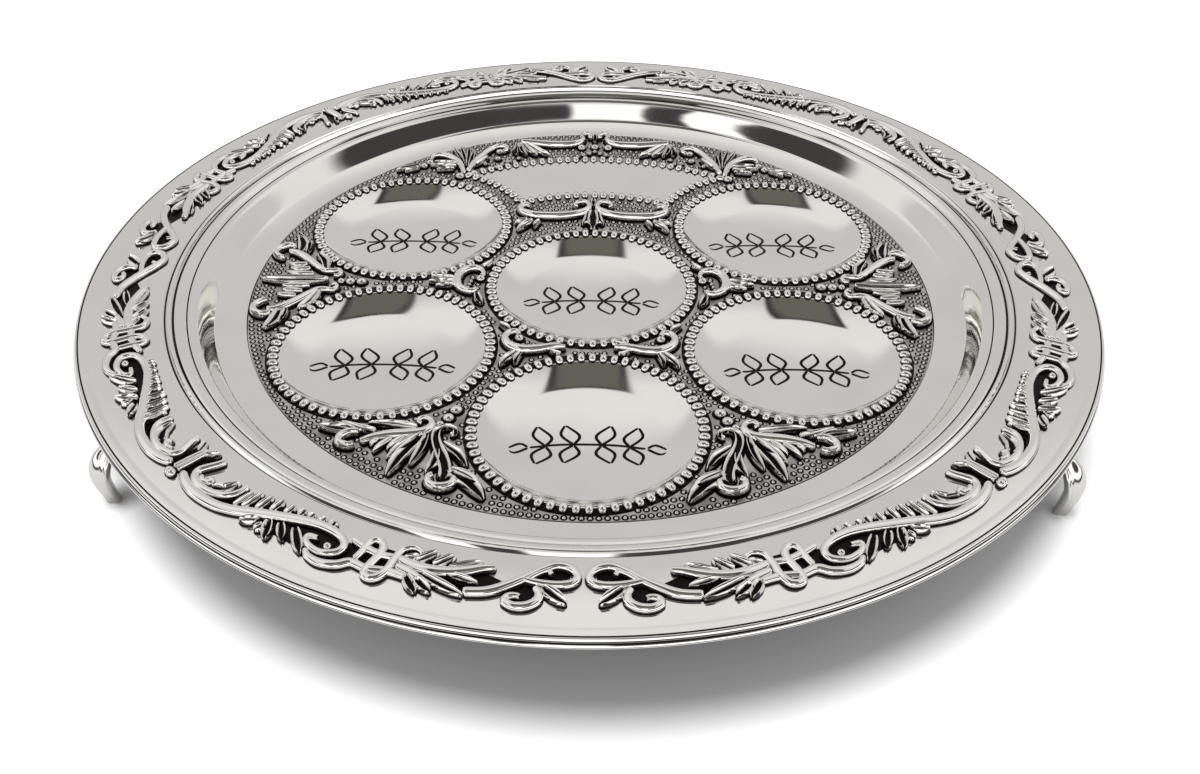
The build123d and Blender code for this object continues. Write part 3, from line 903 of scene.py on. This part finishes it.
def recesses(pen):
    """Black ground between the motifs: oxide in the recesses and painted shade in the narrow gaps."""
    for patch in ([(.9, 174.6), (2.2, 173), (3.6, 175.4), (4.8, 178.6), (2.4, 179.2), (.9, 178)],
                  [(3.8, 180.6), (6.2, 179.8), (8, 183.4), (6.6, 185), (6.6, 187.4), (5, 188), (3.8, 186)],
                  [(6.8, 179.6), (8.8, 177), (10.6, 178.4), (12, 175), (17.4, 174.6), (17.6, 184),
                   (15.4, 184), (13, 186.4), (10.6, 186), (8.6, 183.6)],
                  [(17.4, 175.4), (21, 175.4), (21.2, 185), (19, 187.4), (17.6, 186)],
                  [(21, 178), (23.4, 177.2), (26.4, 176.4), (29, 178), (32.6, 182.4), (32, 186),
                   (29, 185.6), (25.4, 187), (23.6, 187.8), (21.2, 184.4)],
                  [(25.2, 174), (35.2, 175.6), (36.2, 183), (38.6, 186.4), (35.4, 185), (32, 180),
                   (28.6, 176.4)],
                  [(36, 176), (37.2, 182), (39, 184.6), (41.2, 185), (42.8, 183), (43.2, 186),
                   (41.4, 187), (38.6, 187), (36.4, 184.4), (35.2, 178)],
                  [(42.2, 174.6), (44.1, 174.6), (44.1, 186.4), (43, 186), (42.6, 181)]):
        pen.patch([pen.chart(point) for point in patch], rim_film, 1)


def rim_unit(pen):
    """Half of one mount, from the axis of the plate to the mount's middle, as (degrees, radius)."""
    for draw in (axis_scroll, acanthus, knot, eye_and_stem, comb, flame, bar, recesses):
        draw(pen)


def rim_chart(point):
    """Angle and radius as read, to length along the rim's middle line and radius."""
    turned, radius = point
    return (turned - unit_start) * 45 / unit_span * pi / 180 * rim_line, radius


def on_rim(start, sense):
    def place(u, v, up):
        turn = np.radians(start) + sense * u / rim_line
        return v * np.cos(turn), v * np.sin(turn), rim + up
    return place


def make_mount(angle):
    shape = Shape()
    places = [on_rim(angle - 45, 1), on_rim(angle + 45, -1)]
    rim_unit(Pen(shape, places, rim_relief, .6, chart=rim_chart, bold=1.6))
    node = "rim_scroll_%d" % angle
    shape.piece("rim_mount_%d" % angle, [rim_silver, black], [node], 60.0)


# Feet

# Rings down a foot: radius from the plate's axis, height, width, depth, and lean of the ring in degrees
FOOT_RINGS = [(172.5, 34.3, 12.6, 4.8, 90), (178, 34.3, 13, 5, 90), (185, 34, 11, 5, 80),
              (190.8, 29.6, 7.4, 4.6, 44), (195.6, 24.4, 6.6, 4.8, 36), (199.4, 19.6, 11.4, 6.4, 34),
              (201.2, 14.6, 13.6, 6.6, 12), (201, 9.6, 11.6, 6, -8), (200, 4.4, 7.4, 5.2, -12),
              (199.3, 1.2, 5.2, 5, -4), (199.2, 0, 5, 5, 0)]

# Half of a foot's section, across and outward: a domed face in a flat border, and a rounded back
FOOT_HALF = [(0, 1), (.2, .97), (.4, .86), (.56, .66), (.66, .4), (.7, .22), (.76, .16), (.9, .14),
             (.98, .06), (1, -.1), (.92, -.42), (.6, -.62), (.25, -.66)]


def natural(values, at):
    """Smooth curve through evenly spaced values."""
    values = np.concatenate([[2 * values[0] - values[1]], values, [2 * values[-1] - values[-2]]])
    i = np.minimum(at.astype(int), len(values) - 4)
    t = at - i
    a, b, c, d = values[i], values[i + 1], values[i + 2], values[i + 3]
    bend = (2 * a - 5 * b + 4 * c - d) * t ** 2 + (3 * b - a - 3 * c + d) * t ** 3
    return 0.5 * (2 * b + (c - a) * t + bend)


def make_foot(angle):
    """Cast cabriole foot under the rim."""
    rings = np.array(FOOT_RINGS, float)
    steps = np.linspace(0, len(rings) - 1, 64)
    path = np.stack([natural(rings[:, k], steps) for k in range(5)], -1)
    section = np.array(FOOT_HALF + [(0, -.66)] + [(-across, out) for across, out in FOOT_HALF[:0:-1]])
    round_y, round_x = section[:, 0], (section[:, 1] - .17) / .83
    way = np.array([cos(radians(angle)), sin(radians(angle))])
    points = []
    for r, z, width, depth, lean in path:
        out = r + round_x * depth / 2 * cos(radians(lean))
        up = np.maximum(z + round_x * depth / 2 * sin(radians(lean)), 0.0)
        side = round_y * width / 2
        points.append(np.stack([out * way[0] - side * way[1], out * way[1] + side * way[0], up], -1))
    count = len(section)
    faces = grid_faces(len(path), count, False, True)
    faces += [tuple(range(count)), tuple(range((len(path) - 1) * count, len(path) * count))]
    shape = Shape()
    shape.add(np.concatenate(points), faces)
    shape.piece("foot_cast_%d" % angle, [cast], ["foot_%d" % angle], 45.0)


def finish_fixings():
    for name in ("foot_bosses", "foot_screws"):
        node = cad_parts[name]
        node.data.materials.clear()
        node.data.materials.append(steel)


# Stage

# Tints and brightness of what the metal mirrors
WARM = (1.0, .985, .965)
OLIVE = (1.0, 1.0, .84)
TABLE = .6
FAR_ROOM = .03
ROOM = .05
TENT = .62
TENT_TOP = .84
GLOW = 1.5
PANE = 1.3
OPENING = .135
OPENING_EDGE = .03

# Even light from all round, and how pale the floor is to light that has already bounced
FILL = .6
BOUNCE = .1


def make_floor():
    """White floor with the plate's shadow, which metal mirrors as a pale table in a dark room."""
    mesh = bpy.data.meshes.new("floor")
    half = 4.0
    corners = [(-half, -half, 0), (half, -half, 0), (half, half, 0), (-half, half, 0)]
    mesh.from_pydata(corners, [], [(0, 1, 2, 3)])
    material, graph = blank_material("floor_white")
    path = graph.add("ShaderNodeLightPath").outputs
    seen = graph.mix(path["Is Camera Ray"], colour(TABLE), colour(1.0))
    away = graph.add("ShaderNodeVectorMath", {"operation": "LENGTH"})
    graph.put(away.inputs[0], graph.add("ShaderNodeTexCoord").outputs["Object"])
    mirrored = graph.mix(graph.remap(away.outputs["Value"], .42, .55), colour(TABLE), colour(FAR_ROOM))
    shade = graph.mix(path["Is Glossy Ray"], seen, mirrored)
    bounced = graph.math("GREATER_THAN", path["Diffuse Depth"], .5)
    shade = graph.mix(bounced, shade, colour(BOUNCE))
    skin = graph.add("ShaderNodeBsdfDiffuse", Color=shade)
    graph.add("ShaderNodeOutputMaterial", Surface=skin.outputs["BSDF"])
    mesh.materials.append(material)
    floor = bpy.data.objects.new("floor", mesh)
    bpy.context.scene.collection.objects.link(floor)


def overhead_opening(graph, lateral, along):
    """Dark opening overhead, seen in the dishes: where it is, and its colour."""
    across = graph.math("ABSOLUTE", lateral)
    back, front = .45, -.62
    from_back = graph.math("SUBTRACT", back, along)
    widening = graph.math("MULTIPLY_ADD", from_back, .25, .23)
    inset = graph.math("MINIMUM", graph.math("SUBTRACT", widening, across), from_back)
    inset = graph.math("MINIMUM", inset, graph.math("SUBTRACT", along, front))
    shade = graph.mix(graph.remap(inset, .03, .12), colour(OPENING_EDGE), colour(OPENING, OLIVE))
    return graph.remap(inset, -.02, .02), shade


def front_screen(graph, lateral, along, z):
    """Dark screen in front with two bright panes, seen in the far wall: where it is, and its colour."""
    band = graph.math("MULTIPLY", graph.remap(z, .75, .7), graph.remap(z, .4, .45))
    place = graph.math("MULTIPLY", band, graph.remap(along, .2, -.05))
    middle_pane = graph.remap(graph.math("ABSOLUTE", graph.math("ADD", lateral, .09)), .27, .2)
    side_pane = graph.remap(graph.math("ABSOLUTE", graph.math("ADD", lateral, .8)), .22, .15)
    panes = graph.math("MAXIMUM", middle_pane, side_pane)
    return place, graph.mix(panes, colour(ROOM, WARM), colour(PANE, WARM))


def make_world():
    """Pale studio tent that metal mirrors; even light on the floor, and white where the camera sees it."""
    world = bpy.data.worlds.new("studio")
    bpy.context.scene.world = world
    world.use_nodes = True
    graph = Graph(world.node_tree)
    way = graph.add("ShaderNodeTexCoord").outputs["Generated"]
    part = graph.add("ShaderNodeSeparateXYZ", Vector=way)
    x, y, z = (part.outputs[axis] for axis in ("X", "Y", "Z"))
    level = graph.math("MAXIMUM", z, 0.05)
    lateral = graph.math("DIVIDE", x, level)
    along = graph.math("DIVIDE", y, level)
    bright = graph.math("MULTIPLY", graph.remap(along, 1.3, .85), graph.remap(along, -.3, .3))
    lit = graph.mix(bright, colour(TENT, WARM), colour(TENT_TOP, WARM))
    low = graph.math("MULTIPLY", graph.remap(z, .42, .36), graph.remap(along, .6, .1))
    lit = graph.mix(low, lit, colour(GLOW, WARM))
    screen, screen_shade = front_screen(graph, lateral, along, z)
    lit = graph.mix(screen, lit, screen_shade)
    above = graph.math("MAXIMUM", graph.remap(z, .04, .1), graph.remap(y, .1, .3))
    lit = graph.mix(above, colour(ROOM, WARM), lit)
    opening, opening_shade = overhead_opening(graph, lateral, along)
    mirrored = graph.mix(opening, lit, opening_shade)
    path = graph.add("ShaderNodeLightPath").outputs
    light = graph.mix(path["Is Glossy Ray"], colour(FILL), mirrored)
    final = graph.mix(path["Is Camera Ray"], light, colour(1.0))
    sky = graph.add("ShaderNodeBackground", Color=final, Strength=1.0)
    graph.add("ShaderNodeOutputWorld", Surface=sky.outputs["Background"])


def make_lamp():
    """Wide lamp overhead that gives the floor its shadow; the metal mirrors the tent alone."""
    data = bpy.data.lights.new("lamp", "SUN")
    data.energy = 2.6
    data.angle = radians(28.0)
    lamp = bpy.data.objects.new("lamp", data)
    lamp.matrix_world = Vector((-.1, -.09, 1.0)).to_track_quat("Z", "Y").to_matrix().to_4x4()
    lamp.visible_glossy = False
    bpy.context.scene.collection.objects.link(lamp)


def make_camera():
    """Camera fitted to the photograph: in front, looking down at the plate, with a slight roll."""
    tilt, roll = radians(38.10), radians(.741)
    right, back, up = Vector((1, 0, 0)), Vector((0, -cos(tilt), sin(tilt))), Vector((0, sin(tilt), cos(tilt)))
    across = right * cos(roll) + up * sin(roll)
    upward = up * cos(roll) - right * sin(roll)
    place = Matrix((across, upward, back)).transposed().to_4x4()
    place.translation = Vector((.0041, -.4174, .3044))
    data = bpy.data.cameras.new("camera")
    data.lens, data.sensor_width = 36.0, 36.0
    data.clip_start = .01
    camera = bpy.data.objects.new("camera", data)
    camera.matrix_world = place
    bpy.context.scene.collection.objects.link(camera)
    bpy.context.scene.camera = camera


make_tray()
make_ground()
make_dishes()
make_sprigs()
make_cartouche()
for name, centre in roundels.items():
    make_roundel_pearls(name, centre)
make_cartouche_pearls()
make_stipple(make_sprays())
for angle in (45, 135, 225, 315):
    make_mount(angle)
for angle in (90, 210, 330):
    make_foot(angle)
finish_fixings()
make_floor()
make_world()
make_lamp()
make_camera()
bpy.context.scene.view_settings.view_transform = "Standard"
